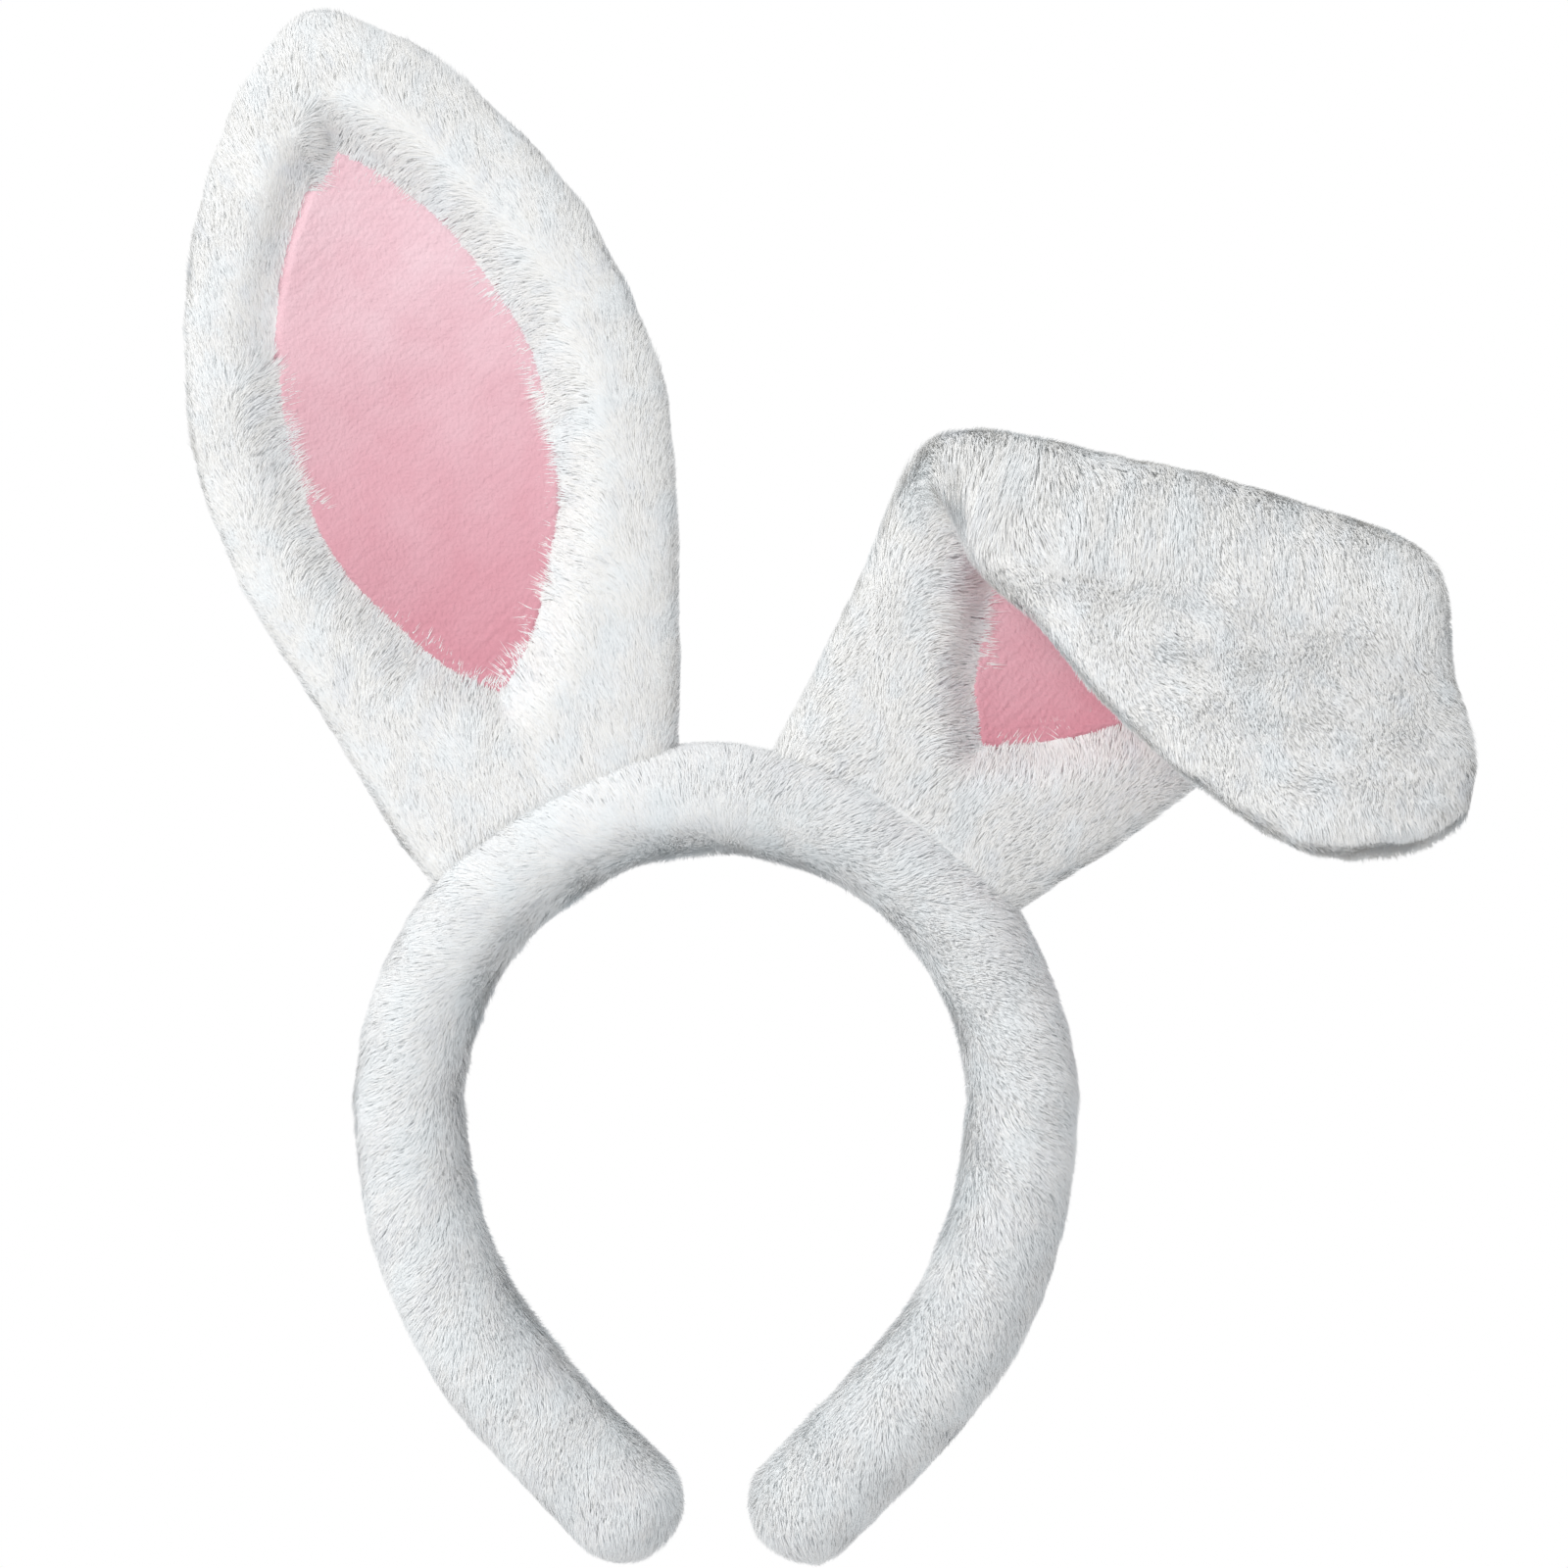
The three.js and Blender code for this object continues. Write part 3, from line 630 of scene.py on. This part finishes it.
    def surface(self):
        """The skin that carries the pile, straightened out, with the way its pile lies."""
        rise = np.linspace(0.0, 1.0, EAR_ROWS)[:, None]
        height = (self.top - PILE_DEPTH) * (1.0 - (1.0 - rise) ** EAR_ROW_POWER)
        angle = np.linspace(0.0, 2.0 * math.pi, EAR_COLUMNS, endpoint=False)[None]
        half, middle = self.skin_outline(height)
        thin = np.minimum(1.0, half / EAR_THIN_BELOW) ** 0.6
        x = middle + half * np.cos(angle)
        turn = np.sin(angle)
        z = height + np.clip(1.0 - height / FOOT_TOP, 0.0, 1.0) * (self.drop(x) - FOOT_SINK)
        back = thin * (self.back - PILE_DEPTH) * np.abs(turn) ** EAR_BACK_POWER
        front = -thin * (self.front - PILE_DEPTH) * np.abs(turn) ** EAR_FRONT_POWER
        away = self.leaf_distance(x, z)
        front = front - FOLD_FILL * self.fold_corner(x, z) * (turn < 0)
        into = smoothstep(away, LIP, -1.0 * MM)
        front = front + into * (np.maximum(self.floor(x, z), front) - front)
        grid = self.world(x, np.where(turn > 0, back, front), z)
        normals = grid_normals(grid, self.world(middle, 0.0, height))
        grid[0] = grid[0].mean(axis=0)
        normals[0], normals[-1] = -self.up, self.up
        lumps = EAR_PUFF + drift(grid, EAR_LUMPS)
        hollow = np.where(turn < 0, into, 0.0)
        grid = grid + normals * (lumps * thin * (1.0 - hollow))[..., None]
        # On the border the pile leans in over the lining; elsewhere it lies up the ear.
        step = 0.5 * MM
        slope_x = (self.leaf_distance(x + step, z) - self.leaf_distance(x - step, z))[..., None]
        slope_z = (self.leaf_distance(x, z + step) - self.leaf_distance(x, z - step))[..., None]
        inward = -unit(slope_x * self.across + slope_z * self.up)
        # The upright ear's border ends in a crisp seam at its upper left.
        crisp = smoothstep(z / self.top, CRISP_FROM, CRISP_TO) * (x < self.leaf[1].min() / 3)
        soft = 1.0 - crisp * (self.bent == 0)
        near = np.where(turn < 0, smoothstep(away, BORDER, 2 * MM), 0.0) * soft
        flow = self.up * (1.0 - 0.8 * near[..., None]) + inward * 1.2 * near[..., None]
        brim = np.where(turn < 0, smoothstep(away, BRIM, 1 * MM), 0.0) * soft
        share = np.where((turn < 0) & (away < 0.2 * MM), 0.0, 1.0) * self.beyond_hoop(grid)
        fluff = 1.0 + RIM_FLUFF * (1.0 - np.abs(turn)) ** 3 + FOLD_FLUFF * self.fold_corner(x, z)
        fluff = fluff * thin**0.3 * (1.0 + BRIM_FLUFF * brim)
        return {"grid": grid, "normals": normals, "flow": flow, "share": share,
                "fluff": fluff, "lean": PILE_LEAN + BRIM_LEAN * brim}

    def fold_corner(self, x, z):
        """1 at the left end of a folded ear's fold, where the border's pile closes over it."""
        half, middle = self.skin_outline(z)
        past = np.abs((self.world(x, 0.0, z) - self.pivot) @ self.climb)
        side = smoothstep(x - middle + half, 30 * MM, 10 * MM)
        return side * smoothstep(past, 36 * MM, 8 * MM) * (self.bent != 0)

    def beyond_hoop(self, points):
        """0 inside the hoop's tube and 1 outside it."""
        ring = np.linalg.norm((points - HOOP_CENTRE)[..., [0, 2]], axis=-1) - HOOP_RADIUS
        tube = np.hypot(ring, points[..., 1])
        return np.where(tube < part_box("crown_sleeve")[1][1] - PILE_DEPTH, 0.0, 1.0)

    def lining_surface(self):
        """The lining's face, a little proud of the hollow's floor."""
        heights, leaf_left, leaf_right = self.leaf
        rise = (1.0 - np.cos(np.linspace(0.0, math.pi, LINING_ROWS)))[:, None] / 2
        z = heights[0] + (heights[-1] - heights[0]) * rise
        left, right = np.interp(z, heights, leaf_left), np.interp(z, heights, leaf_right)
        share = np.linspace(-1.0, 1.0, LINING_COLUMNS)[None]
        x = (left + right) / 2 + (right - left) / 2 * share
        away = self.leaf_distance(x, z)
        tuck = LINING_TUCK * smoothstep(-away, LINING_TUCK_REACH, 0.0)
        folds = drift(self.world(x, 0.0, z), LINING_FOLDS)
        y = self.floor(x, z) - LINING_LIFT + tuck + folds
        grid = self.world(x, y, z)
        normals = unit(np.cross(np.gradient(grid, axis=1), np.gradient(grid, axis=0)))
        return grid, normals * -np.sign(normals @ BACK)[..., None]

    def attach(self, piece, slot):
        """Blends a straight piece across the fold, then bends it to how the ear is stored."""
        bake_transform(piece)
        mesh = piece.data
        points = np.empty(len(mesh.vertices) * 3)
        mesh.vertices.foreach_get("co", points)
        points = points.reshape(-1, 3)
        share = smoothstep((points - self.pivot) @ self.climb, -FOLD_REACH, FOLD_REACH)
        points = turned(points, self.pivot, self.hinge, share * self.bent)
        mesh.vertices.foreach_set("co", points.astype(np.float32).ravel())
        mesh.update()


def cloth_piece(name, grid, normals, thickness, materials):
    """A closed sheet of cloth: its face, its back and its edges."""
    rows, columns = grid.shape[:2]
    points = np.concatenate([grid.reshape(-1, 3), (grid - normals * thickness).reshape(-1, 3)])
    face = grid_faces(rows, columns, closed=False)
    back = face[:, ::-1] + rows * columns
    index = np.arange(rows * columns).reshape(rows, columns)
    rim = np.concatenate([index[0, :-1], index[:-1, -1], index[-1, :0:-1], index[:0:-1, 0]])
    after = np.roll(rim, -1)
    edge = np.stack([rim, rim + rows * columns, after + rows * columns, after], axis=1)
    return mesh_piece(name, points, np.concatenate([face, back, edge]), materials)


def build_ear(ear):
    rng = np.random.default_rng(200 + ear.side)
    surface = ear.surface()
    grid, normals = surface["grid"], surface["normals"]
    skin = mesh_piece(f"{ear.name}_skin", grid.reshape(-1, 3), outward_faces(grid, normals), [FUR_SKIN])
    for piece in [skin] + fur_pieces(f"{ear.name}_fur", surface, EAR_TONES, rng):
        ear.attach(piece, "fur")
    layers = ("cover_lower", "cover_upper", "filling_lower", "filling_upper", "foot_thread")
    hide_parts(*(f"{ear.name}_{layer}" for layer in layers))
    cloth, facing = ear.lining_surface()
    lining = cloth_piece(f"{ear.name}_lining", cloth, facing, LINING_THICKNESS, [LINING_CLOTH_PAINTED_SHADE])
    ear.attach(lining, "lining")
    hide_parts(f"{ear.name}_lining_lower", f"{ear.name}_lining_upper")


def dress_frame():
    """Gives the CAD nodes that stay a material of their own."""
    looks = {"thread": THREAD, "foam": FOAM, "core": SPRING_STRIP, "wire": WIRE}
    for name, holder in NODES.items():
        for word, look in looks.items():
            if word in name:
                holder.data.materials.clear()
                holder.data.materials.append(look)


# ------------------------------------------------------------------ stage, light and camera

def build_camera():
    lens = bpy.data.cameras.new("camera")
    lens.sensor_width = SENSOR
    lens.lens = SENSOR * CAMERA_DISTANCE / VIEW_SIZE
    camera = bpy.data.objects.new("camera", lens)
    middle = (np.array(cad_low) + np.array(cad_high)) / 2
    camera.location = (middle[0] - VIEW_LEFT, -CAMERA_DISTANCE, middle[2])
    camera.rotation_euler = (math.pi / 2, 0.0, 0.0)
    bpy.context.scene.collection.objects.link(camera)
    bpy.context.scene.camera = camera


def build_floor():
    bpy.ops.mesh.primitive_circle_add(vertices=96, radius=FLOOR_RADIUS, fill_type="NGON",
                                      location=(0, 0, FLOOR_HEIGHT))
    floor = bpy.context.object
    floor.name = "floor"
    floor.data.materials.append(material("floor_white", FLOOR_WHITE, 1.0))


def build_key():
    """One large soft light from the upper left."""
    lamp = bpy.data.lights.new("key", "AREA")
    lamp.shape = "DISK"
    lamp.size = KEY_SIZE
    lamp.energy = KEY_WATTS
    lamp.color = KEY_COLOUR
    holder = bpy.data.objects.new("key", lamp)
    holder.location = KEY_PLACE
    holder.rotation_euler = (-Vector(KEY_PLACE)).to_track_quat("-Z", "Y").to_euler()
    bpy.context.scene.collection.objects.link(holder)


def build_world():
    """White to the camera, and a soft grey fill to everything else."""
    world = bpy.data.worlds.new("studio")
    bpy.context.scene.world = world
    world.use_nodes = True
    links, nodes = world.node_tree.links, world.node_tree.nodes
    fill = nodes["Background"]
    fill.inputs["Color"].default_value = (*FILL_COLOUR, 1.0)
    fill.inputs["Strength"].default_value = FILL_STRENGTH
    white = nodes.new("ShaderNodeBackground")
    white.inputs["Color"].default_value = (1.0, 1.0, 1.0, 1.0)
    path = nodes.new("ShaderNodeLightPath")
    mix = nodes.new("ShaderNodeMixShader")
    links.new(path.outputs["Is Camera Ray"], mix.inputs["Fac"])
    links.new(fill.outputs[0], mix.inputs[1])
    links.new(white.outputs[0], mix.inputs[2])
    links.new(mix.outputs[0], nodes["World Output"].inputs["Surface"])


HOOP_CENTRE, HOOP_RADIUS = hoop_circle()
EARS = [Ear("left_ear"), Ear("right_ear")]

build_camera()
build_floor()
build_key()
build_world()
dress_frame()
for side in (-1, 1):
    build_half_hoop(side)
for ear in EARS:
    build_ear(ear)

scene = bpy.context.scene
scene.view_settings.view_transform = "Standard"
scene.cycles.max_bounces = BOUNCES
scene.cycles.diffuse_bounces = BOUNCES
